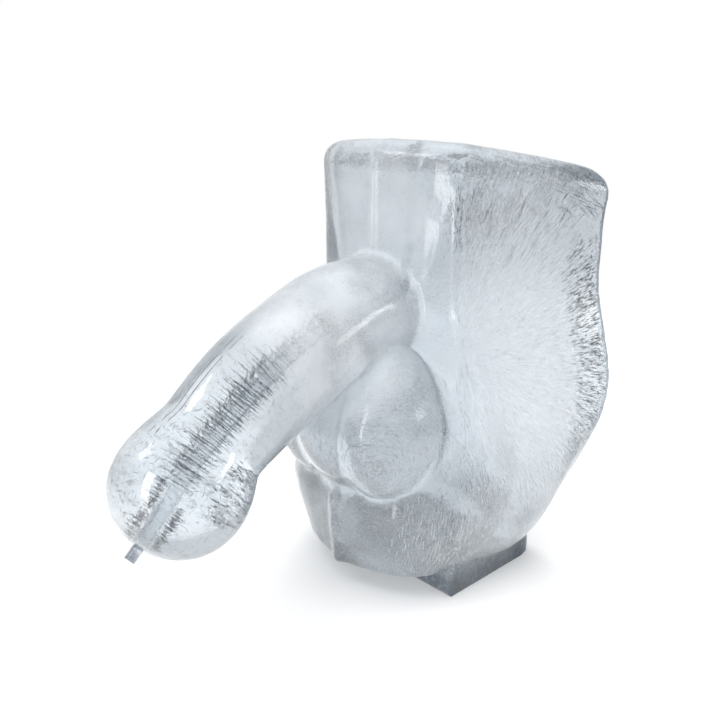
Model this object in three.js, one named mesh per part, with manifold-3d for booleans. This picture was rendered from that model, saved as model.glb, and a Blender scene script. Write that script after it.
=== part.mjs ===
// Ice luge for pouring chilled drinks. One clear ice casting has the form of a male torso, cut off
// at the waist and the thighs, standing on a low foot. A clear hose is frozen into it: the drink is
// poured into a well in the waist cut and runs out at the tip of the spout.
// Millimetres, +Z up. The casting faces -Y, and X = 0 is its plane of symmetry and mould seam.
// The origin is the middle of the foot's underside.
import * as THREE from "three";
import { mergeVertices } from "three/addons/utils/BufferGeometryUtils.js";
import Module from "manifold-3d";

const wasm = await Module();
wasm.setup();

// Foot: the block that the casting stands on
const FOOT_WIDTH = 230;
const FOOT_DEPTH = 160;
const FOOT_HEIGHT = 34;
const FOOT_ROUND = 24;

// Torso: a flat back, two flanks that spread towards it, and a front with a raised middle seam
const TORSO_BOTTOM = 23;
const TORSO_TOP = 512;
const BACK_Y = 88;
const TOP_SLOPE = 0.21; // fall of the waist cut towards the back, per millimetre
const SLOPE_FROM = 380; // height where the slope of the waist cut begins to show
const TOP_ROUND = 28;
const BOTTOM_ROUND = 12;
const BACK_ROUND = 14;
const SEAM_WIDTH = 9;
const SEAM_RISE = 3;

// Stations of the torso from the foot to the waist: seam (front of the middle), edge (where the front
// turns into the flank) with its rounding, side (half the width at the back), bulge of the flank, and
// fold (half the width of the belly panel, which narrows towards the spout) with its rise
const STATIONS = [
  { z: 23, seamY: -153, edgeX: 110, edgeY: -121, round: 85, sideX: 104, bulge: 14, foldX: 24, rise: 0 },
  { z: 60, seamY: -156, edgeX: 130, edgeY: -130, round: 95, sideX: 130, bulge: 15, foldX: 26, rise: 0 },
  { z: 110, seamY: -159, edgeX: 146, edgeY: -134, round: 100, sideX: 154, bulge: 14, foldX: 28, rise: 0 },
  { z: 160, seamY: -146, edgeX: 141, edgeY: -107, round: 80, sideX: 179, bulge: 12, foldX: 32, rise: 0 },
  { z: 209, seamY: -114, edgeX: 130, edgeY: -76, round: 45, sideX: 198, bulge: 10, foldX: 40, rise: 0 },
  { z: 262, seamY: -97, edgeX: 122, edgeY: -71, round: 24, sideX: 201, bulge: 8, foldX: 46, rise: 0 },
  { z: 340, seamY: -91, edgeX: 109, edgeY: -76, round: 18, sideX: 180, bulge: 7, foldX: 54, rise: 2 },
  { z: 400, seamY: -89, edgeX: 107, edgeY: -77, round: 18, sideX: 177, bulge: 7, foldX: 68, rise: 5 },
  { z: 512, seamY: -89, edgeX: 111, edgeY: -77, round: 18, sideX: 183, bulge: 7, foldX: 92, rise: 5 },
];
const FOLD_WIDTH = 12;

// Spout: its centreline in the plane of symmetry, and its radius along that line
const SPOUT_LINE = [
  [-36, 326],
  [-93, 325],
  [-147, 320],
  [-246, 273],
  [-314, 225],
  [-352, 187],
  [-401, 141],
];
const SPOUT_RADII = [
  [0, 0],
  [4, 50],
  [40, 61],
  [62, 60],
  [95, 60.5],
  [150, 62],
  [230, 62.5],
  [290, 58],
  [303, 58],
  [318, 63],
  [335, 68],
  [355, 70],
  [375, 66.5],
  [392, 58],
  [405, 46],
  [415, 30],
  [420, 14],
  [422, 0],
];

// Two lobes that hang under the spout, narrower towards the top
const LOBE_CENTRE = [50, -112, 204];
const LOBE_RADII = [59, 74, 89];
const LOBE_TAPER = 0.3;
const BRIDGE_CENTRE = [0, -113, 203]; // the web between the lobes
const BRIDGE_RADII = [76, 80, 86];

// Hose: clear tube of the common 9 x 12 mm size, from the well to just beyond the tip
const HOSE_OUTER = 6;
const HOSE_INNER = 4.5;
const HOSE_GAP = 0.3;
const HOSE_STUB = 12;
const HOSE_RISE = 2; // above the floor of the well
const HOSE_DROP = 60; // straight vertical run below the well

// Well: the cone in the waist cut that takes the drink
const WELL_Y = -12;
const WELL_RADIUS = 22;
const WELL_FLOOR = 470;

// Fineness of the faceted surfaces
const TORSO_STEPS = 19;
const SPOUT_STEPS = 40;
const AROUND_SPOUT = 30;
const HOSE_STEPS = 31;
const AROUND_HOSE = 7;

// Turns a closed geometry into a solid that can be joined and cut.
function solid(geometry) {
  geometry.deleteAttribute("normal");
  geometry.deleteAttribute("uv");
  const merged = mergeVertices(geometry, 1e-3);
  const triVerts = [];
  const index = merged.index.array;
  for (let i = 0; i < index.length; i += 3) {
    const [a, b, c] = index.slice(i, i + 3);
    if (a !== b && b !== c && c !== a) triVerts.push(a, b, c);
  }
  return new wasm.Manifold(
    new wasm.Mesh({
      numProp: 3,
      vertProperties: merged.attributes.position.array,
      triVerts: new Uint32Array(triVerts),
    }),
  );
}

// Turns a solid back into a geometry.
function geometryOf(made) {
  const mesh = made.getMesh();
  return new THREE.BufferGeometry()
    .setAttribute("position", new THREE.BufferAttribute(mesh.vertProperties, 3))
    .setIndex(new THREE.BufferAttribute(mesh.triVerts, 1));
}

// The point on the way from a to b that lies a given distance from a.
function along(a, b, distance) {
  return a.clone().add(b.clone().sub(a).setLength(distance));
}

// Half of a level section of the torso, from the middle of the back round to the seam.
function halfSection([seamY, edgeX, edgeY, round, sideX, bulge, foldX, rise], inset) {
  const middle = new THREE.Vector2(0, BACK_Y - inset);
  const back = new THREE.Vector2(sideX - inset, BACK_Y - inset);
  const edge = new THREE.Vector2(edgeX - inset, edgeY + inset);
  const front = new THREE.Vector2(0, seamY + inset);
  const onBack = along(back, middle, BACK_ROUND);
  const flankBack = along(back, edge, BACK_ROUND);
  const flankFront = along(edge, back, round);
  const reach = edge.distanceTo(front);
  const turn = Math.min(round, 0.6 * reach);
  const fold = Math.min(foldX, reach - turn - FOLD_WIDTH - 2);
  const frontEdge = along(edge, front, turn);
  const foldOut = along(front, edge, fold + FOLD_WIDTH);
  const foldIn = along(front, edge, fold);
  const lift = rise * (1 - inset / TOP_ROUND);
  foldIn.y -= lift;
  const seamSide = along(front, edge, SEAM_WIDTH);
  seamSide.y -= lift;
  const seam = new THREE.Vector2(0, front.y - lift - SEAM_RISE);
  const out = new THREE.Vector2(edge.y - back.y, back.x - edge.x).setLength(-2 * bulge);
  const flank = flankBack.clone().add(flankFront).multiplyScalar(0.5).add(out);
  const stretches = [
    [new THREE.LineCurve(middle, onBack), 3],
    [new THREE.QuadraticBezierCurve(onBack, back, flankBack), 3],
    [new THREE.QuadraticBezierCurve(flankBack, flank, flankFront), 7],
    [new THREE.QuadraticBezierCurve(flankFront, edge, frontEdge), 7],
    [new THREE.LineCurve(frontEdge, foldOut), 1],
    [new THREE.LineCurve(foldOut, foldIn), 1],
    [new THREE.LineCurve(foldIn, seamSide), 2],
    [new THREE.LineCurve(seamSide, seam), 1],
  ];
  return [middle, ...stretches.flatMap(([curve, count]) => curve.getPoints(count).slice(1))];
}

// Heights of the torso's sections, each with its inset: rounded at the bottom and the top.
function torsoLevels() {
  const low = TORSO_BOTTOM + BOTTOM_ROUND;
  const high = TORSO_TOP - TOP_ROUND;
  const levels = [];
  for (const part of [1, 0.75, 0.5, 0.25, 0]) {
    const angle = (part * Math.PI) / 2;
    levels.push([low - BOTTOM_ROUND * Math.sin(angle), BOTTOM_ROUND * (1 - Math.cos(angle))]);
  }
  for (let i = 1; i < TORSO_STEPS; i++) levels.push([low + ((high - low) * i) / TORSO_STEPS, 0]);
  for (const part of [0, 0.25, 0.5, 0.75, 1]) {
    const angle = (part * Math.PI) / 2;
    levels.push([high + TOP_ROUND * Math.sin(angle), TOP_ROUND * (1 - Math.cos(angle))]);
  }
  return levels;
}

// Torso: a cylinder whose rings are moved onto the level sections.
function torso() {
  const form = new THREE.CubicInterpolant(
    STATIONS.map((s) => s.z),
    STATIONS.flatMap((s) => [s.seamY, s.edgeX, s.edgeY, s.round, s.sideX, s.bulge, s.foldX, s.rise]),
    8,
  );
  const rings = torsoLevels().map(([z, inset]) => {
    const half = halfSection(form.evaluate(z), inset);
    const other = half.slice(1, -1).reverse().map((p) => new THREE.Vector2(-p.x, p.y));
    const slope = THREE.MathUtils.smoothstep(z, SLOPE_FROM, TORSO_TOP) * TOP_SLOPE;
    const fall = (p) => slope * (p.y - STATIONS.at(-1).seamY);
    return [...half, ...other].map((p) => new THREE.Vector3(p.x, p.y, z - fall(p)));
  });
  const around = rings[0].length;
  const geometry = new THREE.CylinderGeometry(1, 1, rings.length - 1, around, rings.length - 1);
  const position = geometry.attributes.position;
  const middleOf = (ring) => ring[0].clone().lerp(ring[around / 2], 0.5);
  for (let i = 0; i < position.count; i++) {
    const level = Math.round(position.getY(i) + (rings.length - 1) / 2);
    const turn = Math.atan2(position.getX(i), position.getZ(i)) / (2 * Math.PI);
    const onAxis = Math.hypot(position.getX(i), position.getZ(i)) < 0.5;
    const ring = rings[level];
    const place = onAxis ? middleOf(ring) : ring[(around - Math.round(turn * around)) % around];
    position.setXYZ(i, place.x, place.y, place.z);
  }
  return solid(geometry);
}

const spoutLine = new THREE.CatmullRomCurve3(SPOUT_LINE.map(([y, z]) => new THREE.Vector3(0, y, z)));

// Spout: a turned profile bent along the centreline.
function spout() {
  const profile = new THREE.SplineCurve(SPOUT_RADII.map(([s, r]) => new THREE.Vector2(r, s)));
  const points = profile.getPoints(SPOUT_STEPS).map((p) => new THREE.Vector2(Math.max(p.x, 0), p.y));
  points[0].x = 0;
  points.at(-1).x = 0;
  const geometry = new THREE.LatheGeometry(points, AROUND_SPOUT);
  const position = geometry.attributes.position;
  const length = points.at(-1).y;
  const side = new THREE.Vector3(1, 0, 0);
  for (let i = 0; i < position.count; i++) {
    const t = THREE.MathUtils.clamp(position.getY(i) / length, 0, 1);
    const normal = new THREE.Vector3().crossVectors(side, spoutLine.getTangentAt(t));
    const place = spoutLine
      .getPointAt(t)
      .addScaledVector(side, position.getX(i))
      .addScaledVector(normal, position.getZ(i));
    position.setXYZ(i, place.x, place.y, place.z);
  }
  return solid(geometry);
}

// A round body that narrows towards its top, such as one of the lobes.
function drop([x, y, z], radii) {
  const geometry = new THREE.SphereGeometry(1, 26, 18);
  geometry.rotateX(Math.PI / 2);
  const position = geometry.attributes.position;
  for (let i = 0; i < position.count; i++) {
    const width = 1 - LOBE_TAPER * Math.max(position.getZ(i), 0);
    position.setX(i, position.getX(i) * width);
    position.setY(i, position.getY(i) * width);
  }
  geometry.scale(...radii);
  geometry.translate(x, y, z);
  return solid(geometry);
}

function lobes() {
  const [x, y, z] = LOBE_CENTRE;
  const left = drop([x, y, z], LOBE_RADII);
  const right = drop([-x, y, z], LOBE_RADII);
  return left.add(right).add(drop(BRIDGE_CENTRE, BRIDGE_RADII));
}

// Foot: a block with sharp front corners and rounded back corners.
function foot() {
  const x = FOOT_WIDTH / 2;
  const y = FOOT_DEPTH / 2;
  const outline = new THREE.Shape();
  outline.moveTo(-x, -y);
  outline.lineTo(x, -y);
  outline.lineTo(x, y - FOOT_ROUND);
  outline.quadraticCurveTo(x, y, x - FOOT_ROUND, y);
  outline.lineTo(FOOT_ROUND - x, y);
  outline.quadraticCurveTo(-x, y, -x, y - FOOT_ROUND);
  outline.closePath();
  const options = { depth: FOOT_HEIGHT, curveSegments: 5, bevelEnabled: false };
  return solid(new THREE.ExtrudeGeometry(outline, options));
}

// Hose route: straight down from the well, forward into the spout, and along it past the tip.
const hoseLine = new THREE.CatmullRomCurve3([
  new THREE.Vector3(0, WELL_Y, WELL_FLOOR + HOSE_RISE),
  new THREE.Vector3(0, WELL_Y, WELL_FLOOR - HOSE_DROP / 2),
  new THREE.Vector3(0, WELL_Y, WELL_FLOOR - HOSE_DROP),
  new THREE.Vector3(0, WELL_Y - 26, WELL_FLOOR - 1.95 * HOSE_DROP),
  ...[0.16, 0.36, 0.56, 0.76, 0.9].map((t) => spoutLine.getPointAt(t)),
  spoutLine.getPointAt(1).addScaledVector(spoutLine.getTangentAt(1), HOSE_STUB),
]);

function disc(radius) {
  return new THREE.Shape().absarc(0, 0, radius, 0, 2 * Math.PI);
}

// A round or hollow section carried along the hose route.
function carried(section) {
  return new THREE.ExtrudeGeometry(section, {
    extrudePath: hoseLine,
    steps: HOSE_STEPS,
    curveSegments: AROUND_HOSE,
    bevelEnabled: false,
  });
}

function hose() {
  const section = disc(HOSE_OUTER);
  section.holes.push(disc(HOSE_INNER));
  return solid(carried(section));
}

function channel() {
  return solid(carried(disc(HOSE_OUTER + HOSE_GAP)));
}

function well() {
  const height = TORSO_TOP - WELL_FLOOR;
  const mouth = HOSE_OUTER + HOSE_GAP;
  const widen = (WELL_RADIUS - mouth) * (height / (height - 20));
  const profile = [
    new THREE.Vector2(0, 0),
    new THREE.Vector2(mouth, 0),
    new THREE.Vector2(mouth + widen, height),
    new THREE.Vector2(0, height),
  ];
  const geometry = new THREE.LatheGeometry(profile, 32);
  geometry.rotateX(Math.PI / 2);
  geometry.translate(0, WELL_Y, WELL_FLOOR);
  return solid(geometry);
}

function iceCasting() {
  const body = torso().add(foot()).add(lobes()).add(spout());
  return body.subtract(channel()).subtract(well());
}

const iceMaterial = new THREE.MeshStandardMaterial({ color: 0xd5dde3, roughness: 0.12, metalness: 0 });
const hoseMaterial = new THREE.MeshStandardMaterial({ color: 0xe6ebee, roughness: 0.2, metalness: 0 });

function node(name, made, material) {
  const mesh = new THREE.Mesh(geometryOf(made), material);
  mesh.name = name;
  return mesh;
}

const luge = new THREE.Group();
luge.name = "ice_luge";
luge.add(node("ice_casting", iceCasting(), iceMaterial));
luge.add(node("drink_hose", hose(), hoseMaterial));

export default luge;
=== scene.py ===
# Ice luge: a clear hose frozen into one casting of ice, with the air that the freezing trapped.
# Metres, +Z up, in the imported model's frame. The casting faces -Y, X = 0 is its mould seam, and the
# origin is the middle of the foot's underside.
import math

import bpy
import numpy as np
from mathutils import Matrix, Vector
from mathutils.bvhtree import BVHTree


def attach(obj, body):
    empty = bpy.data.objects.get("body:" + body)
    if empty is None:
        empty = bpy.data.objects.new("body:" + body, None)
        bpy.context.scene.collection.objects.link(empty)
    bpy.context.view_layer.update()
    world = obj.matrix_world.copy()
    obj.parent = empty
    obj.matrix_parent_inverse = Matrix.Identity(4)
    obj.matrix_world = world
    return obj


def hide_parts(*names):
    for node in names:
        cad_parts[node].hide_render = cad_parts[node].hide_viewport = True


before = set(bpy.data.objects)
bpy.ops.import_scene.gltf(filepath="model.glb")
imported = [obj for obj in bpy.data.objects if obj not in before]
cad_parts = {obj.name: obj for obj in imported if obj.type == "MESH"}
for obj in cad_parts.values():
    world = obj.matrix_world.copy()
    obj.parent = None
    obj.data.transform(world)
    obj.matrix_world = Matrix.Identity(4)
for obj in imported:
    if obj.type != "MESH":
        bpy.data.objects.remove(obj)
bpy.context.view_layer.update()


# Drink hose
# A clear PVC hose of the common 9 x 12 mm size. It is laid in the mould before the water is poured, runs
# from the well in the waist cut down into the spout, and is cut off square just beyond the spout's tip.
HOSE_OUTER = 0.006
HOSE_WALL = 0.0015
HOSE_ROUTE = [  # Y and Z of the middle line, in the plane X = 0
    (-0.0120, 0.4720),
    (-0.0120, 0.4400),
    (-0.0120, 0.4100),
    (-0.0380, 0.3530),
    (-0.1041, 0.3246),
    (-0.1859, 0.3049),
    (-0.2606, 0.2641),
    (-0.3278, 0.2122),
    (-0.3699, 0.1700),
    (-0.4097, 0.1328),
]


def activate(piece):
    bpy.ops.object.select_all(action="DESELECT")
    piece.select_set(True)
    bpy.context.view_layer.objects.active = piece


def apply_modifier(piece, kind, **settings):
    """Adds one modifier, sets it and applies it."""
    activate(piece)
    modifier = piece.modifiers.new(kind.lower(), kind)
    for name, value in settings.items():
        setattr(modifier, name, value)
    bpy.ops.object.modifier_apply(modifier=modifier.name)


def tube_on_route(name, radius, closed):
    """A mesh tube of that radius along the hose's route."""
    route = bpy.data.curves.new(name, "CURVE")
    route.dimensions = "3D"
    route.resolution_u = 8
    route.bevel_depth = radius
    route.bevel_resolution = 5
    route.use_fill_caps = closed
    line = route.splines.new("BEZIER")
    line.bezier_points.add(len(HOSE_ROUTE) - 1)
    for point, (y, z) in zip(line.bezier_points, HOSE_ROUTE):
        point.co = (0, y, z)
        point.handle_left_type = "AUTO"
        point.handle_right_type = "AUTO"
    tube = bpy.data.objects.new(name, route)
    bpy.context.scene.collection.objects.link(tube)
    activate(tube)
    bpy.ops.object.convert(target="MESH")
    bpy.ops.object.mode_set(mode="EDIT")
    bpy.ops.mesh.select_all(action="SELECT")
    bpy.ops.mesh.remove_doubles(threshold=1e-6)
    bpy.ops.mesh.normals_make_consistent(inside=False)
    bpy.ops.object.mode_set(mode="OBJECT")
    return tube


hose = tube_on_route("clear_hose", HOSE_OUTER, closed=False)
apply_modifier(hose, "SOLIDIFY", thickness=HOSE_WALL, offset=-1.0)
activate(hose)
bpy.ops.object.shade_smooth_by_angle(angle=math.radians(40))


def material(name):
    """A new material, its shader, and the Object coordinates that its patterns read."""
    made = bpy.data.materials.new(name)
    made.use_nodes = True
    nodes = made.node_tree.nodes
    return made, nodes["Principled BSDF"], nodes.new("ShaderNodeTexCoord").outputs["Object"]


def feed(socket, value):
    """Gives a socket a plain value, or another node's output."""
    if isinstance(value, bpy.types.NodeSocket):
        socket.id_data.links.new(value, socket)
    else:
        socket.default_value = value


def noise(place, scale, detail=3.0, roughness=0.5):
    texture = place.id_data.nodes.new("ShaderNodeTexNoise")
    feed(texture.inputs["Vector"], place)
    feed(texture.inputs["Scale"], scale)
    feed(texture.inputs["Detail"], detail)
    feed(texture.inputs["Roughness"], roughness)
    return texture.outputs["Fac"]


def spread(value, low, high, to_low, to_high):
    """Maps low..high of a value onto to_low..to_high, with soft ends."""
    ranged = value.id_data.nodes.new("ShaderNodeMapRange")
    ranged.interpolation_type = "SMOOTHSTEP"
    feed(ranged.inputs["Value"], value)
    feed(ranged.inputs["From Min"], low)
    feed(ranged.inputs["From Max"], high)
    feed(ranged.inputs["To Min"], to_low)
    feed(ranged.inputs["To Max"], to_high)
    return ranged.outputs["Result"]


def parts_of(vector):
    """The X, Y and Z of a vector."""
    split = vector.id_data.nodes.new("ShaderNodeSeparateXYZ")
    feed(split.inputs["Vector"], vector)
    return split.outputs["X"], split.outputs["Y"], split.outputs["Z"]


def shaded(value, low_colour, high_colour):
    """A colour from one to another as a value goes from 0 to 1."""
    ramp = value.id_data.nodes.new("ShaderNodeValToRGB")
    ramp.color_ramp.elements[0].color = (*low_colour, 1)
    ramp.color_ramp.elements[1].color = (*high_colour, 1)
    feed(ramp.inputs["Fac"], value)
    return ramp.outputs["Color"]


# Frozen in, the hose hardly bends the light that comes through the ice. Its end has melted loose, so that
# shows, and the stub outside is greyer.
LOOSE_FROM = -0.366
STUB_START = -0.398
STUB_END = -0.404
FROZEN_IN_IOR = 1.17
LOOSE_IOR = 1.45
FROZEN_IN_TINT = (0.96, 0.97, 0.98)
LOOSE_TINT = (0.86, 0.88, 0.90)
STUB_TINT = (0.50, 0.53, 0.56)


def clear_pvc(name, bend, stub_tint, tint):
    """Clear PVC that bends light by that much against what is around it, a little scuffed."""
    made, shader, place = material(name)
    feed(shader.inputs["IOR"], bend)
    along = parts_of(place)[1]
    feed(shader.inputs["Base Color"], shaded(spread(along, STUB_END, STUB_START, 0, 1), stub_tint, tint))
    rub = noise(place, 160)
    feed(shader.inputs["Roughness"], spread(rub, 0.35, 0.7, 0.03, 0.14))
    feed(shader.inputs["Transmission Weight"], spread(rub, 0.4, 0.8, 0.97, 0.88))
    return made


hose.data.materials.clear()
hose.data.materials.append(clear_pvc("clear_pvc", FROZEN_IN_IOR, FROZEN_IN_TINT, FROZEN_IN_TINT))
hose.data.materials.append(clear_pvc("clear_pvc_end", LOOSE_IOR, STUB_TINT, LOOSE_TINT))
for face in hose.data.polygons:
    face.material_index = int(face.center.y < LOOSE_FROM)
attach(hose, "root")
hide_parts("drink_hose")


# Ice casting
# One casting of clear ice: the torso, its spout and lobes, and the low foot. It is frozen in a two-part mould
# around the hose, so a seam runs down its middle, and its wet skin has begun to melt and round off.
VOXEL = 0.0034
FOOT_TOP = 0.034
SKIN_FADE = 0.012
CHANNEL_GAP = 0.0003
CHANNEL_RADIUS = HOSE_OUTER + CHANNEL_GAP
WELL_Y = -0.012
WELL_FLOOR = 0.470
WELL_DEPTH = 0.042
WELL_WIDEN = 0.030
WELL_REACH = 0.028

ice = bpy.data.objects.new("clear_ice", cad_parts["ice_casting"].data.copy())
bpy.context.scene.collection.objects.link(ice)
activate(ice)
bpy.ops.object.mode_set(mode="EDIT")
bpy.ops.mesh.select_mode(type="FACE")
bpy.ops.mesh.select_all(action="SELECT")
bpy.ops.mesh.remove_doubles(threshold=1e-5)
bpy.ops.mesh.select_all(action="DESELECT")
bpy.ops.object.mode_set(mode="OBJECT")


def faces_of(piece):
    """Middles, normals and areas of a piece's faces."""
    count = len(piece.data.polygons)
    middles = np.zeros(count * 3)
    normals = np.zeros(count * 3)
    areas = np.zeros(count)
    piece.data.polygons.foreach_get("center", middles)
    piece.data.polygons.foreach_get("normal", normals)
    piece.data.polygons.foreach_get("area", areas)
    return middles.reshape(-1, 3), normals.reshape(-1, 3), areas


def points_of(piece):
    """Places and normals of a piece's vertices."""
    count = len(piece.data.vertices)
    places = np.zeros(count * 3)
    normals = np.zeros(count * 3)
    piece.data.vertices.foreach_get("co", places)
    piece.data.vertex_normals.foreach_get("vector", normals)
    return places.reshape(-1, 3), normals.reshape(-1, 3)


def surface_of(mesh):
    """A mesh's surface, to measure from."""
    return BVHTree.FromPolygons([v.co for v in mesh.vertices], [p.vertices for p in mesh.polygons])


def soft_step(values, low, high):
    part = np.clip((values - low) / (high - low), 0, 1)
    return part * part * (3 - 2 * part)


def weigh(name, weights):
    """A vertex group on the ice with those weights."""
    group = ice.vertex_groups.new(name=name)
    for index, weight in enumerate(weights.tolist()):
        group.add([index], weight, "REPLACE")
    return group


# The skin is remade without the hose's channel and the well, which are cut again when it is smooth.
middles, normals, areas = faces_of(ice)
hose_wall = surface_of(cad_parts["drink_hose"].data)
to_hose = np.array([hose_wall.find_nearest(middle)[3] for middle in middles.tolist()])
to_well = np.hypot(middles[:, 0], middles[:, 1] - WELL_Y)
in_channel = to_hose < 3 * CHANNEL_GAP
in_well = (to_well < WELL_REACH) & (middles[:, 2] > WELL_FLOOR - 0.001) & (normals[:, 2] < 0.8)
ice.data.polygons.foreach_set("select", in_channel | in_well)
bpy.ops.object.mode_set(mode="EDIT")
bpy.ops.mesh.delete(type="FACE")
bpy.ops.mesh.select_all(action="SELECT")
bpy.ops.mesh.fill_holes(sides=0)
bpy.ops.object.mode_set(mode="OBJECT")
ice.data.remesh_voxel_size = VOXEL
bpy.ops.object.voxel_remesh()

places, facing = points_of(ice)
melted = weigh("melted", np.clip((places[:, 2] - FOOT_TOP) / SKIN_FADE, 0, 1))
apply_modifier(ice, "SMOOTH", factor=0.5, iterations=14, vertex_group="melted")

# The lobes melt into the groin and into each other, so their creases are the softest places of the skin.
# Each crease: its middle on the left side, the reach of the full softness, and the reach where it ends.
CREASES = [
    ((0.094, -0.090, 0.200), 0.030, 0.080),
    ((0.0, -0.165, 0.165), 0.015, 0.055),
]
places, facing = points_of(ice)
left_side = np.column_stack([np.abs(places[:, 0]), places[:, 1:]])
softness = [
    soft_step(-np.linalg.norm(left_side - middle, axis=1), -outer, -inner) for middle, inner, outer in CREASES
]
weigh("creases", np.max(softness, axis=0))
apply_modifier(ice, "SMOOTH", factor=0.5, iterations=60, vertex_group="creases")

# The mould's own marks stay sharper than the melting skin: the seam down the front, a flat facet beside the
# belly on each side, which narrows to a point at the spout, and a low step that edges each thigh.
SEAM_RISE = 0.0018
SEAM_WIDTH = 0.0028
SEAM_SPANS = [(0.03, 0.115), (0.385, 0.49)]
SEAM_FADE = 0.01
FACET_HEIGHTS = [0.385, 0.442, 0.466, 0.500]
FACET_INNER = [0.066, 0.067, 0.078, 0.078]
FACET_OUTER = [0.067, 0.093, 0.105, 0.108]
FACET_TOP = 0.492
FACET_FRONT = -0.03
FACET_MELT = 0.3
THIGH_RISE = 0.001
THIGH_HEIGHTS = [0.121, 0.157, 0.194, 0.228, 0.283, 0.313, 0.342]
THIGH_EDGE = [0.153, 0.150, 0.135, 0.123, 0.115, 0.108, 0.104]
THIGH_SOFT = 0.0035
places, facing = points_of(ice)
x, y, z = places.T
unmarked = surface_of(ice.data)
inner = np.interp(z, FACET_HEIGHTS, FACET_INNER)
outer = np.interp(z, FACET_HEIGHTS, FACET_OUTER)
on_facet = (z > FACET_HEIGHTS[0]) & (z < FACET_TOP) & (y < FACET_FRONT)
on_facet &= (np.abs(x) > inner) & (np.abs(x) < outer)
for index in np.flatnonzero(on_facet):
    ends = []
    for edge in (inner[index], outer[index]):
        before = (math.copysign(edge, x[index]), -0.3, z[index])
        ends.append(unmarked.ray_cast(before, (0, 1, 0))[0].y)
    y[index] = np.interp(abs(x[index]), (inner[index], outer[index]), ends)
    melted.add([int(index)], FACET_MELT, "REPLACE")
seam = SEAM_RISE * np.exp(-((x / SEAM_WIDTH) ** 2)) * soft_step(-facing[:, 1], 0.3, 0.7)
seam *= sum(
    soft_step(z, low, low + SEAM_FADE) * soft_step(-z, -high, SEAM_FADE - high) for low, high in SEAM_SPANS
)
beyond = np.abs(x) - np.interp(z, THIGH_HEIGHTS, THIGH_EDGE)
thigh = THIGH_RISE * soft_step(beyond, -THIGH_SOFT, THIGH_SOFT) * soft_step(-y, -0.03, 0.03)
thigh *= soft_step(z, 0.12, 0.16) * soft_step(-z, -0.36, -0.33) * soft_step(y, -0.105, -0.09)
places += facing * (seam + thigh)[:, None]
ice.data.vertices.foreach_set("co", places.ravel())
ice.data.update()


def waves(name, size, depth):
    """Rough relief: the skin moves in and out by up to that depth over waves of that size."""
    texture = bpy.data.textures.new(name, "CLOUDS")
    texture.noise_scale = size
    texture.noise_depth = 1
    apply_modifier(
        ice,
        "DISPLACE",
        texture=texture,
        texture_coords="LOCAL",
        strength=depth,
        mid_level=0.5,
        vertex_group="melted",
    )


waves("melt_hollows", 0.060, 0.0020)
waves("melt_ripple", 0.016, 0.0003)
skin_middles, skin_normals, skin_areas = faces_of(ice)
skin = surface_of(ice.data)

channel = tube_on_route("hose_channel", CHANNEL_RADIUS, closed=True)
apply_modifier(ice, "BOOLEAN", object=channel, operation="DIFFERENCE", solver="MANIFOLD")
bpy.data.objects.remove(channel)
bpy.ops.object.select_all(action="DESELECT")
bpy.ops.mesh.primitive_cone_add(
    vertices=64,
    radius1=CHANNEL_RADIUS,
    radius2=CHANNEL_RADIUS + WELL_WIDEN,
    depth=WELL_DEPTH,
    location=(0, WELL_Y, WELL_FLOOR + WELL_DEPTH / 2),
)
well = bpy.context.object
apply_modifier(ice, "BOOLEAN", object=well, operation="DIFFERENCE", solver="MANIFOLD")
bpy.data.objects.remove(well)
activate(ice)
bpy.ops.object.shade_smooth_by_angle(angle=math.radians(50))


def math_of(operation, first, second=0.0):
    """One sum on two values, of which at least one is a node's output."""
    tree = (first if isinstance(first, bpy.types.NodeSocket) else second).id_data
    node = tree.nodes.new("ShaderNodeMath")
    node.operation = operation
    feed(node.inputs[0], first)
    feed(node.inputs[1], second)
    return node.outputs["Value"]


def product(first, *others):
    for other in others:
        first = math_of("MULTIPLY", first, other)
    return first


def most(first, *others):
    """The largest of several values."""
    for other in others:
        first = math_of("MAXIMUM", first, other)
    return first


def vector_math(operation, first, second=(0, 0, 0)):
    """One sum on vectors, which gives a vector or, for a length, a distance or a dot product, one value."""
    node = first.id_data.nodes.new("ShaderNodeVectorMath")
    node.operation = operation
    feed(node.inputs[0], first)
    feed(node.inputs[1], second)
    return node.outputs["Value" if operation in ("LENGTH", "DISTANCE", "DOT_PRODUCT") else "Vector"]


def vector_of(along_x, along_y, along_z):
    node = along_x.id_data.nodes.new("ShaderNodeCombineXYZ")
    for socket, value in zip(node.inputs, (along_x, along_y, along_z)):
        feed(socket, value)
    return node.outputs["Vector"]


ICE_IOR = 1.31
WET_IOR = 1.5
WET_ROUGHNESS = 0.04
wet_ice, shader, place = material("wet_ice")
feed(shader.inputs["IOR"], ICE_IOR)
feed(shader.inputs["Coat IOR"], WET_IOR)
feed(shader.inputs["Coat Roughness"], WET_ROUGHNESS)
at_x, at_y, at_z = parts_of(place)
sideways = math_of("ABSOLUTE", at_x)
from_seam = vector_of(sideways, at_y, at_z)


def ball_mask(middle, inner, outer):
    """1 within inner of a point, falling to 0 at outer, alike on both sides of the seam."""
    return spread(vector_math("DISTANCE", from_seam, middle), inner, outer, 1, 0)


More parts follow.
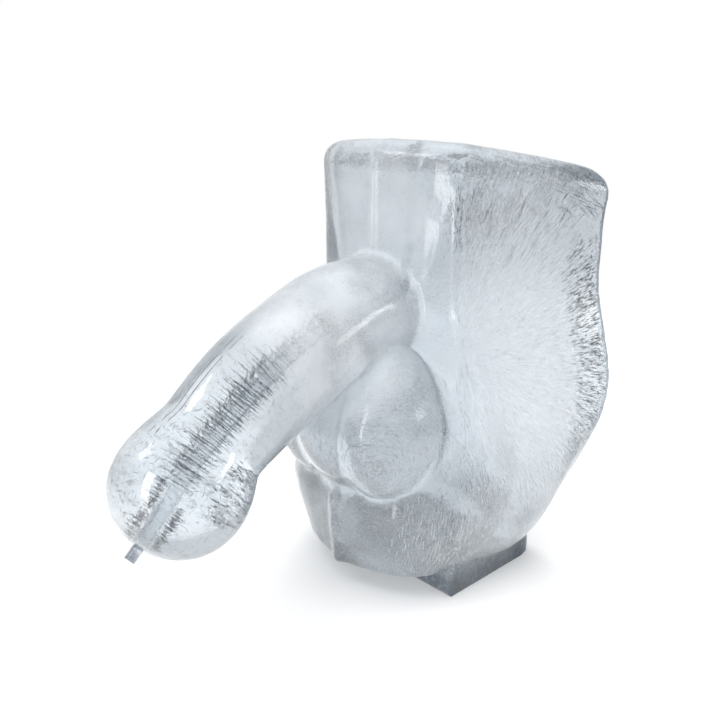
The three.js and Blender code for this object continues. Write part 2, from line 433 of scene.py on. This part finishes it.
# Milky ice lies where the freezing ended. The root's milk also whitens the tint below as painted light, and
# the groin's and hip crease's milk darkens it as painted shade. Each place: its middle on the left side, the
# reach of its full milk, the reach where the milk ends, and how strong it is.
MILK_PLACES = {
    "root": ((0.0, -0.17, 0.30), 0.07, 0.145, 1.0),
    "belly": ((0.0, -0.09, 0.42), 0.05, 0.13, 1.0),
    "groin": ((0.095, -0.075, 0.25), 0.02, 0.09, 0.6),
    "hip_crease": ((0.098, -0.077, 0.37), 0.015, 0.055, 0.6),
    "lower_front": ((0.05, -0.12, 0.09), 0.05, 0.13, 0.45),
    "lobes": ((0.07, -0.13, 0.20), 0.05, 0.12, 0.5),
    "lower_flank": ((0.145, -0.03, 0.11), 0.04, 0.11, 0.6),
}
milk_at = {}
for name, (middle, inner, outer, strength) in MILK_PLACES.items():
    milk_at[name] = product(ball_mask(middle, inner, outer), strength)
cloud = spread(noise(place, 16, 4, 0.6), 0.3, 0.7, 0.6, 1.0)
haze = product(most(*milk_at.values()), cloud)

# Fine threads in the milk run out from the groin to the rim, the way the ice grew.
THREAD_CORE = (0.0, -0.09, 0.29)
THREADS_ROUND = 34
THREADS_OUT = 42
THREADS_ACROSS = 20
from_core = vector_math("SUBTRACT", place, THREAD_CORE)
out_x, out_y, out_z = parts_of(from_core)
fan = vector_of(
    product(math_of("ARCTAN2", out_z, out_y), THREADS_ROUND),
    product(vector_math("LENGTH", from_core), THREADS_OUT),
    product(out_x, THREADS_ACROSS),
)
threads = spread(noise(fan, 1.0, 3, 0.6), 0.35, 0.65, 0, 1)
threads = product(threads, spread(sideways, 0.09, 0.12, 0, 1))
fibres = spread(noise(fan, 2.6, 2, 0.6), 0.3, 0.7, 0, 1)

# The thighs' frost starts at their step and thins out towards the rim, the waist, the foot and the lobes.
EDGE_SCALE = 0.2
low, high = THIGH_HEIGHTS[0], THIGH_HEIGHTS[-1]
level = place.id_data.nodes.new("ShaderNodeMapRange")
feed(level.inputs["Value"], at_z)
feed(level.inputs["From Min"], low)
feed(level.inputs["From Max"], high)
groin_line = place.id_data.nodes.new("ShaderNodeFloatCurve")
feed(groin_line.inputs["Value"], level.outputs["Result"])
line = groin_line.mapping.curves[0].points
for height, edge in zip(THIGH_HEIGHTS[1:-1], THIGH_EDGE[1:-1]):
    line.new((height - low) / (high - low), edge / EDGE_SCALE)
line[0].location = (0, THIGH_EDGE[0] / EDGE_SCALE)
line[-1].location = (1, THIGH_EDGE[-1] / EDGE_SCALE)
for point in line:
    point.handle_type = "VECTOR"
groin_line.mapping.update()
past_line = math_of("SUBTRACT", sideways, product(groin_line.outputs["Value"], EDGE_SCALE))
to_rim = spread(at_y, -0.02, 0.085, 1, 0)
to_waist = spread(at_z, 0.29, 0.47, 1, 0.45)
to_foot = spread(at_z, 0.09, 0.21, 0, 1)
to_lobes = spread(at_y, -0.10, -0.08, 0.2, 1)
ragged = math_of("ADD", product(to_rim, to_waist, to_foot, to_lobes), product(fibres, 0.35))
frost = product(spread(ragged, 0.25, 1.0, 0, 0.85), spread(past_line, -0.001, 0.003, 0, 1))

# A little milk also lies along the waist cut, and on the seam above and below the spout; the seam's milk is
# tinted near white as well, a painted highlight along the seam.
waist = product(spread(at_z, 0.455, 0.485, 0, 0.6), spread(sideways, 0.075, 0.12, 1, 0.15))
off_spout = math_of("ADD", spread(at_z, 0.385, 0.40, 0, 0.9), spread(at_z, 0.10, 0.115, 0.6, 0))
on_seam = spread(sideways, 0.0010, 0.0030, 1, 0)
in_front = spread(at_y, -0.07, -0.06, 1, 0)
below_cut = spread(at_z, 0.462, 0.48, 1, 0)
seam_frost_and_highlight = product(on_seam, in_front, off_spout, below_cut)
haze = most(haze, waist, seam_frost_and_highlight)

# Milk is a mist of tiny bubbles: each speck of skin is either clear or white.
BUBBLE = 0.00025
LEAST_MILK = 0.06
milk = most(haze, frost, LEAST_MILK)
lot = place.id_data.nodes.new("ShaderNodeTexWhiteNoise")
feed(lot.inputs["Vector"], vector_math("SNAP", place, (BUBBLE, BUBBLE, BUBBLE)))
mist = math_of("GREATER_THAN", milk, lot.outputs["Value"])

# The foot is painted dark, a painted shade that is darkest on its sides and weaker on faces that look up,
# with paler flecks. The lower front is painted darker on one side of the seam, a painted shade.
upright = math_of("ABSOLUTE", parts_of(place.node.outputs["Normal"])[2])
flecks = spread(noise(place, 190, 2), 0.54, 0.66, 1, 0.35)
foot = product(spread(at_z, 0.012, 0.046, 1, 0), flecks, spread(upright, 0.6, 0.9, 1, 0.45))
painted_low_shade = product(ball_mask((0.035, -0.15, 0.075), 0.035, 0.08), spread(at_x, -0.012, -0.002, 1, 0))
tip = ball_mask((0.0, -0.375, 0.165), 0.035, 0.075)
groin_shade_mask = most(milk_at["groin"], milk_at["hip_crease"])


def tinted(under, over, factor):
    """A colour laid over another, by a factor."""
    mixed = factor.id_data.nodes.new("ShaderNodeMix")
    mixed.data_type = "RGBA"
    feed(mixed.inputs["A"], under)
    feed(mixed.inputs["B"], (*over, 1))
    feed(mixed.inputs["Factor"], factor)
    return mixed.outputs["Result"]


CLEAR_TINT = (0.77, 0.80, 0.825, 1)
TINTS = [  # each laid over the ones before it
    ((0.79, 0.815, 0.84), haze),
    # Painted light: the spout's root is tinted whiter in place of light shining through the ice into the
    # shade under the spout.
    ((0.91, 0.93, 0.95), milk_at["root"]),
    # Painted shade: grey laid into the groin and hip creases.
    ((0.60, 0.62, 0.64), groin_shade_mask),
    # Partly a painted highlight: the seam's frost is tinted near white.
    ((0.97, 0.98, 0.99), seam_frost_and_highlight),
    # Painted shade: the lower front is darkened on one side of the seam.
    ((0.44, 0.475, 0.51), painted_low_shade),
    ((0.69, 0.72, 0.745), tip),
    ((0.80, 0.82, 0.84), frost),
    ((0.55, 0.58, 0.61), product(fibres, frost, 0.7)),
    # Painted shade: the foot is tinted near black, less on faces that look up.
    ((0.11, 0.13, 0.15), foot),
]
colour = CLEAR_TINT
for tint, factor in TINTS:
    colour = tinted(colour, tint, factor)
feed(shader.inputs["Base Color"], colour)
clarity = math_of("SUBTRACT", spread(mist, 0, 1, 0.95, 0.50), product(threads, 0.05))
feed(shader.inputs["Transmission Weight"], clarity)
feed(shader.inputs["Roughness"], spread(mist, 0, 1, 0.04, 0.36))

# The wet film is thinner on milky ice, in the groin and along the rim.
wet_on_milk = spread(milk, 0.2, 1, 1.0, 0.5)
wet_in_groin = spread(groin_shade_mask, 0.1, 0.5, 1, 0.15)
wet_on_rim = spread(at_y, 0.02, 0.05, 1, 0.2)
feed(shader.inputs["Coat Weight"], product(wet_on_milk, wet_in_groin, wet_on_rim))
grain = product(noise(place, 260, 3), math_of("ADD", 0.45, frost))
bump = place.id_data.nodes.new("ShaderNodeBump")
feed(bump.inputs["Strength"], 0.35)
feed(bump.inputs["Distance"], 0.002)
feed(bump.inputs["Height"], math_of("ADD", grain, product(fibres, sideways)))
feed(shader.inputs["Normal"], bump.outputs["Normal"])

# Light that goes a long way through the ice turns a little grey and blue.
depth_tint = place.id_data.nodes.new("ShaderNodeVolumeAbsorption")
feed(depth_tint.inputs["Color"], (0.80, 0.84, 0.87, 1))
feed(depth_tint.inputs["Density"], 7.0)
feed(place.id_data.nodes["Material Output"].inputs["Volume"], depth_tint.outputs["Volume"])

# Along the channel the ice is frozen to the hose, so no air lies between them to bend the light.
frozen_on, shader, place = material("ice_on_hose")
feed(shader.inputs["Base Color"], (0.98, 0.99, 1.0, 1))
feed(shader.inputs["Transmission Weight"], 1.0)
feed(shader.inputs["IOR"], 1.01)
feed(shader.inputs["Roughness"], spread(noise(place, 120), 0.3, 0.7, 0.0, 0.06))
ice.data.materials.clear()
ice.data.materials.append(wet_ice)
ice.data.materials.append(frozen_on)
at_hose = [hose_wall.find_nearest(v.co)[3] < 4 * CHANNEL_GAP for v in ice.data.vertices]
for face in ice.data.polygons:
    face.material_index = int(all(at_hose[v] for v in face.vertices))
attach(ice, "root")
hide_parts("ice_casting")


# Air streaks
# Air that the freezing pushed ahead of it and trapped, as thin needles along the way the ice grew: two
# feathers across the spout beside the hose, a collar at its neck, rays from the groin to the rim, slanting
# lines at the shoulders and rings in the lobes.
SKIN_MARGIN = 0.0015
WELL_MARGIN = 0.01
WELL_CLEAR = 0.035
chance = np.random.default_rng(7)
streaks = []  # middle, direction, half length, radius and brightness of each lot of needles


def unit(vectors):
    return vectors / np.maximum(np.linalg.norm(vectors, axis=1, keepdims=True), 1e-9)


def across(vectors):
    """Two unit vectors across each given one."""
    helper = np.where(np.abs(vectors[:, :1]) < 0.8, [[1.0, 0, 0]], [[0, 1.0, 0]])
    side = unit(np.cross(vectors, helper))
    return side, np.cross(vectors, side)


def scattered(vectors, amount):
    return unit(vectors + amount * chance.normal(size=vectors.shape))


def inside(points):
    """Whether each point lies inside the ice, a little way below its skin."""
    answers = []
    for point in points.tolist():
        nearest, normal, index, gap = skin.find_nearest(point)
        answers.append(gap > SKIN_MARGIN and (nearest - Vector(point)).dot(normal) > 0)
    return np.array(answers)


def keep(middle, run, half, radius, shade):
    """Adds one lot of needles, without those that would reach out of the ice or into the well."""
    ends = half[:, None] * run
    whole = inside(middle + ends) & inside(middle - ends)
    beside_well = np.hypot(middle[:, 0], middle[:, 1] - WELL_Y) > WELL_CLEAR
    whole &= beside_well | (middle[:, 2] < WELL_FLOOR - WELL_MARGIN)
    streaks.append((middle[whole], run[whole], half[whole], radius[whole], shade[whole]))


def tones(count, dark, contrast):
    """Shades for needles: a share of them dark, as painted shade, the others bright, as painted reflection,
    the contrast from 0 to 1.
    """
    bright = np.where(chance.random(count) < dark, -0.5, 0.45) * contrast
    return np.clip(0.5 + bright + chance.normal(0, 0.05, count), 0, 1)


# The needles in the spout are set out along the hose.
HOSE_STEPS = 1200
BARB_SIDE = 0.66
BARB_DOWN = 0.75
BARB_OFF = (0.0085, 0.0125)
CRACK_LINKS = 16
corners = np.array([(0, y, z) for y, z in HOSE_ROUTE])
reach = np.concatenate([[0], np.cumsum(np.linalg.norm(np.diff(corners, axis=0), axis=1))])
stations = np.linspace(0, reach[-1], HOSE_STEPS)
hose_line = np.stack([np.interp(stations, reach, corners[:, axis]) for axis in range(3)], axis=1)
hose_course = unit(np.gradient(hose_line, axis=0))
hose_step = np.linalg.norm(hose_line[1] - hose_line[0])


def barbs(side, here):
    """The way of a feather's barbs at points of the hose: down and out, on that side."""
    return BARB_SIDE * side * np.array([[1, 0, 0]]) + BARB_DOWN * np.cross((1, 0, 0), hose_course[here])


def feather_streaks(first, last, gap, reach_up, reach_down, dark, contrast):
    """A feather of straight needles across the spout, close together, on each side of the hose."""
    count = int((last - first) * HOSE_STEPS * hose_step / gap)
    for side in (-1, 1):
        at = np.linspace(first, last, count) * HOSE_STEPS + chance.normal(0, 0.4, count) * gap / hose_step
        here = np.clip(at, 0, HOSE_STEPS - 1).astype(int)
        over = barbs(side, here)
        off = side * np.cross(hose_course[here], over)
        top = -reach_up * chance.uniform(0.65, 1.0, (count, 1))
        end = reach_down * chance.uniform(0.65, 1.0, (count, 1))
        middle = hose_line[here] + over * (top + end) / 2 + off * chance.uniform(*BARB_OFF, (count, 1))
        half = ((end - top) / 2).ravel()
        run = scattered(over, 0.04)
        keep(middle, run, half, chance.uniform(0.0005, 0.0010, count), tones(count, dark, contrast))


def crack_streaks(first, last, depth):
    """A thin dark line along the spout on each side, that far below its skin."""
    here = np.linspace(first * HOSE_STEPS, last * HOSE_STEPS, CRACK_LINKS).astype(int)
    for side in (-1, 1):
        over = barbs(side, here)
        up = unit(side * np.cross(hose_course[here], over) - 1.3 * over)
        out = [skin.ray_cast(start, way)[3] for start, way in zip(hose_line[here].tolist(), up.tolist())]
        middle = hose_line[here] + up * (np.array(out) - depth)[:, None]
        half = np.full(CRACK_LINKS, 0.0055)
        run = scattered(hose_course[here], 0.03)
        keep(middle, run, half, chance.uniform(0.0004, 0.0007, CRACK_LINKS), tones(CRACK_LINKS, 1.0, 0.9))


def collar_streaks(count, first, last, inner, outer, thick, dark, contrast, round_it):
    """Needles between two depths, either round the spout or in from the skin of its lower half."""
    pick = chance.integers(int(first * HOSE_STEPS), int(last * HOSE_STEPS), count)
    side, other = across(hose_course[pick])
    turns = (0, 2 * np.pi) if round_it else (1.6, 4.7)
    turn = chance.uniform(*turns, (count, 1))
    out = side * np.cos(turn) + other * np.sin(turn)
    middle = hose_line[pick] + out * chance.uniform(inner, outer, (count, 1))
    run = scattered(np.cross(hose_course[pick], out) if round_it else out, 0.08)
    half = chance.uniform(0.002, 0.007, count)
    keep(middle, run, half, chance.uniform(0.4, 1.0, count) * thick, tones(count, dark, contrast))


# The other needles are set out below the skin. A weight for each face of the skin says how many it gets.
LEAST_DEPTH = 0.002
SHOULDER_SLOPE = (0.45, 0.83, -0.33)
LOBE_MIDDLE = (0.05, -0.11, 0.19)
LOBE_AHEAD = (0.45, -0.85, -0.25)
skin_x, skin_y, skin_z = skin_middles.T
skin_from_seam = np.column_stack([np.abs(skin_x), skin_y, skin_z])


def near(middle, size):
    """How close each skin face is to a spot, alike on both sides of the seam."""
    return np.exp(-(((skin_from_seam - middle) / size) ** 2).sum(axis=1))


def on_skin(count, weight):
    """Random places on the skin and the way in from them."""
    pick = chance.choice(len(weight), count, p=weight / weight.sum())
    return skin_middles[pick] + chance.normal(0, VOXEL / 2, (count, 3)), -skin_normals[pick]


def on_each_side(start, vector):
    """A vector given for the left side, mirrored for the starts on the right."""
    side = np.sign(start[:, :1])
    return np.hstack([side * vector[0], np.full_like(side, vector[1]), np.full_like(side, vector[2])])


def along_skin(vectors, inward):
    return unit(vectors - inward * (vectors * inward).sum(axis=1, keepdims=True))


def to_the_rim(start, inward):
    return along_skin((start - THREAD_CORE) * (0, 1, 1), inward)


def down_the_shoulder(start, inward):
    return along_skin(on_each_side(start, SHOULDER_SLOPE), inward)


def round_the_lobe(start, inward):
    return unit(np.cross(on_each_side(start, LOBE_AHEAD), start - on_each_side(start, LOBE_MIDDLE)))


def any_way(start, inward):
    return unit(np.cross(inward, chance.normal(size=start.shape)))


def skin_needles(count, weight, way, stray, lengths, deep, thick, dark, contrast):
    """Needles under the skin that run one way, more or less astray."""
    start, inward = on_skin(count, weight)
    run = way(start, inward)
    shortest, longest = lengths
    half = chance.uniform(shortest, 1.0, count) * longest
    middle = start + inward * chance.uniform(LEAST_DEPTH, deep, (count, 1))
    if stray:
        run = scattered(run, stray)
    keep(middle, run, half, chance.uniform(0.5, 1.0, count) * thick, tones(count, dark, contrast))


def rays(count, weight, longest, deep, thick, dark, contrast):
    """Needles that point from the groin to the rim."""
    skin_needles(count, weight, to_the_rim, 0.1, (0.3, longest), deep, thick, dark, contrast)


def specks(count, weight, deep, dark, contrast):
    """Short bubbles under the skin."""
    start, inward = on_skin(count, weight)
    middle = start + inward * chance.uniform(LEAST_DEPTH, deep, (count, 1))
    half = chance.uniform(0.0006, 0.0018, count)
    run = unit(chance.normal(size=(count, 3)))
    keep(middle, run, half, chance.uniform(0.0003, 0.0007, count), tones(count, dark, contrast))


def bristles(count, weight, lean, dark, contrast):
    """Fine needles in from the skin, more or less askew."""
    start, inward = on_skin(count, weight)
    half = chance.uniform(0.002, 0.006, count)
    middle = start + inward * (half + chance.uniform(LEAST_DEPTH, 0.014, count))[:, None]
    run = scattered(inward, lean)
    keep(middle, run, half, chance.uniform(0.00015, 0.0003, count), tones(count, dark, contrast))


body = skin_areas * (skin_z > 0.03)
flank = skin_areas * (np.abs(skin_normals[:, 0]) > 0.35) * (skin_z > 0.04) * (skin_y > -0.1)
rim = flank * soft_step(skin_y, 0.03, 0.06) * soft_step(-skin_z, -0.42, -0.36)
low_corner = body * near((0.115, -0.09, 0.075), (0.035, 0.05, 0.04))
upper_flank = flank * near((0.138, -0.015, 0.43), (0.03, 0.04, 0.035))
facet_edge = skin_areas * near((0.114, -0.06, 0.43), (0.025, 0.03, 0.03))
belly_right = skin_areas * near((0.05, -0.09, 0.41), (0.02, 0.02, 0.02)) * (skin_x < 0)
belly_left = skin_areas * near((0.035, -0.09, 0.44), (0.03, 0.03, 0.04)) * (skin_x > 0)
above_slope = skin_z - 0.489 + 0.4 * (skin_y + 0.067) > 0
shoulder = skin_areas * above_slope * (skin_normals[:, 2] < 0.85) * (np.abs(skin_x) > 0.05) * (skin_y < 0.09)
tip_skin = skin_areas * near((0.0, -0.36, 0.17), (0.06, 0.06, 0.06))
lobe_skin = body * near((0.05, -0.15, 0.18), (0.06, 0.06, 0.06))

feather_streaks(0.60, 0.86, 0.0015, 0.028, 0.016, 0.5, 0.78)
feather_streaks(0.60, 0.84, 0.0028, 0.000, 0.017, 1.0, 0.7)
feather_streaks(0.86, 0.965, 0.0011, 0.022, -0.008, 0.8, 0.95)
feather_streaks(0.88, 0.965, 0.0009, -0.008, 0.020, 0.8, 0.95)
feather_streaks(0.45, 0.60, 0.0018, 0.020, 0.014, 0.45, 0.5)
crack_streaks(0.62, 0.80, 0.0035)
collar_streaks(400, 0.77, 0.87, 0.034, 0.060, 0.0008, 0.7, 0.95, round_it=False)
collar_streaks(700, 0.45, 0.90, 0.016, 0.045, 0.0003, 0.4, 0.4, round_it=True)
rays(8000, flank, 0.007, 0.018, 0.0003, 0.35, 0.5)
rays(3600, rim, 0.007, 0.012, 0.0007, 0.85, 0.9)
rays(1500, low_corner, 0.009, 0.006, 0.0007, 0.45, 0.95)
rays(700, upper_flank, 0.022, 0.005, 0.0008, 0.15, 1.0)
rays(1800, facet_edge, 0.0045, 0.014, 0.0006, 0.5, 0.8)
specks(1000, facet_edge, 0.015, 0.5, 0.8)
specks(300, belly_right, 0.015, 0.55, 0.6)
specks(700, belly_left, 0.012, 0.45, 0.55)
specks(1500, body, 0.012, 0.4, 0.7)
skin_needles(700, shoulder, down_the_shoulder, 0.06, (0.4, 0.014), 0.006, 0.0006, 0.6, 0.9)
skin_needles(800, tip_skin, any_way, 0, (0.3, 0.007), 0.010, 0.0004, 0.55, 0.6)
bristles(4500, body, 0.8, 0.45, 0.5)
bristles(1500, lobe_skin, 1.5, 0.5, 0.7)
skin_needles(1600, lobe_skin, round_the_lobe, 0.12, (0.3, 0.007), 0.008, 0.0005, 0.5, 0.8)


def needles():
    """Every streak as a closed spindle with three long edges, all in one mesh."""
    middle = np.concatenate([s[0] for s in streaks])
    run = np.concatenate([s[1] for s in streaks])
    half = np.concatenate([s[2] for s in streaks])[:, None]
    radius = np.concatenate([s[3] for s in streaks])[:, None]
    shade = np.concatenate([s[4] for s in streaks])
    side, other = across(run)
    ring = [side * math.cos(a) + other * math.sin(a) for a in (0, 2 * math.pi / 3, 4 * math.pi / 3)]
    spindle = [middle + radius * r for r in ring] + [middle + half * run, middle - half * run]
    vertices = np.stack(spindle, axis=1).reshape(-1, 3)
    pattern = np.array([(0, 1, 3), (1, 2, 3), (2, 0, 3), (1, 0, 4), (2, 1, 4), (0, 2, 4)])
    faces = (np.arange(len(middle))[:, None, None] * len(spindle) + pattern[None]).reshape(-1, 3)
    mesh = bpy.data.meshes.new("air_streaks")
    mesh.from_pydata(vertices.tolist(), [], faces.tolist())
    shades = mesh.attributes.new("air_shade", "FLOAT", "POINT")
    shades.data.foreach_set("value", np.repeat(shade, len(spindle)))
    return mesh


air = bpy.data.objects.new("air_streaks", needles())
bpy.context.scene.collection.objects.link(air)
trapped_air, shader, place = material("trapped_air")
shade = place.id_data.nodes.new("ShaderNodeAttribute")
shade.attribute_name = "air_shade"
# The needles are opaque greys: the dark ones are painted shade and the bright ones painted reflection, in
# place of the way the trapped air bends and mirrors light.
painted_air_greys = shaded(shade.outputs["Fac"], (0.05, 0.08, 0.11), (0.97, 0.98, 0.99))
feed(shader.inputs["Base Color"], painted_air_greys)
feed(shader.inputs["Roughness"], 0.35)
air.data.materials.append(trapped_air)
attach(air, "root")


# Floor, light and camera
# A plain pale floor that fades into a white surround, soft studio light, and the camera where the
# photograph's was. The surround is bright low down and darker overhead, as a white table under a studio roof.
CAMERA_PLACE = (0.6285, -0.7013, 0.53)
CAMERA_AZIMUTH = math.radians(47)
CAMERA_PITCH = math.radians(17)
CAMERA_LENS = 40
CAMERA_SENSOR = 36
FLOOR_RADIUS = 2.4
FLOOR_FADE = 1.0
FLOOR_DROP = 0.0005
bpy.ops.object.select_all(action="DESELECT")
bpy.ops.mesh.primitive_circle_add(
    vertices=96,
    radius=FLOOR_RADIUS,
    fill_type="NGON",
    location=(0, 0, -FLOOR_DROP),
)
floor = bpy.context.object
floor.name = "floor"
pale, shader, place = material("pale_floor")
feed(shader.inputs["Base Color"], (0.93, 0.93, 0.93, 1))
feed(shader.inputs["Emission Color"], (1, 1, 1, 1))
feed(shader.inputs["Emission Strength"], 0.25)
feed(shader.inputs["Roughness"], 0.8)
feed(shader.inputs["Alpha"], spread(vector_math("LENGTH", place), FLOOR_FADE, FLOOR_RADIUS, 1, 0))
floor.data.materials.append(pale)

# The room's light is dimmer overhead, and where dark flags stand to the left and right of the camera's view.
scene = bpy.context.scene
scene.world = bpy.data.worlds.new("studio")
scene.world.use_nodes = True
nodes = scene.world.node_tree.nodes
compass = nodes.new("ShaderNodeTexCoord").outputs["Generated"]
roof = spread(parts_of(compass)[2], 0.05, 0.75, 0.87, 0.42)
camera_right = (math.cos(CAMERA_AZIMUTH), math.sin(CAMERA_AZIMUTH), 0)
off_view = math_of("ABSOLUTE", vector_math("DOT_PRODUCT", compass, camera_right))
flags = spread(off_view, 0.75, 0.95, 1, 0.42)
room = nodes["Background"]
feed(room.inputs["Color"], (0.97, 1.0, 1.03, 1))
feed(room.inputs["Strength"], product(roof, flags))
backdrop = nodes.new("ShaderNodeBackground")
feed(backdrop.inputs["Color"], (1, 1, 1, 1))
choose = nodes.new("ShaderNodeMixShader")
feed(choose.inputs["Fac"], nodes.new("ShaderNodeLightPath").outputs["Is Camera Ray"])
feed(choose.inputs[1], room.outputs["Background"])
feed(choose.inputs[2], backdrop.outputs["Background"])
feed(nodes["World Output"].inputs["Surface"], choose.outputs["Shader"])


def softbox(name, azimuth, elevation, distance, width, height, power):
    """A soft light that faces the middle of the casting, from a compass angle seen as the camera's is."""
    turn = math.radians(azimuth)
    rise = math.radians(elevation)
    back = (math.sin(turn) * math.cos(rise), -math.cos(turn) * math.cos(rise), math.sin(rise))
    middle = (0, -0.1, 0.25)
    bpy.ops.object.light_add(type="AREA", location=[m + distance * b for m, b in zip(middle, back)])
    lamp = bpy.context.object
    lamp.name = name
    lamp.rotation_euler = (math.pi / 2 - rise, 0, turn)
    lamp.data.shape = "RECTANGLE"
    lamp.data.size = width
    lamp.data.size_y = height
    lamp.data.energy = power
    return lamp


fill = softbox("fill_light", 0, 88, 2.2, 2.4, 2.4, 60)
fill.visible_glossy = False
fill.visible_transmission = False
softbox("window_light", 5, 8, 0.95, 0.15, 0.75, 1.7)
softbox("strip_light", 126, 11, 1.8, 0.75, 0.24, 3.4)
softbox("high_light", -35, 42, 1.8, 0.4, 0.4, 2.2)

bpy.ops.object.camera_add(
    location=CAMERA_PLACE,
    rotation=(math.pi / 2 - CAMERA_PITCH, 0, CAMERA_AZIMUTH),
)
camera = bpy.context.object
camera.data.lens = CAMERA_LENS
camera.data.sensor_width = CAMERA_SENSOR
camera.data.clip_start = 0.01
scene.camera = camera
scene.view_settings.view_transform = "Standard"
scene.cycles.use_denoising = True
scene.cycles.max_bounces = 20
scene.cycles.transmission_bounces = 16
scene.cycles.glossy_bounces = 8
scene.cycles.diffuse_bounces = 4
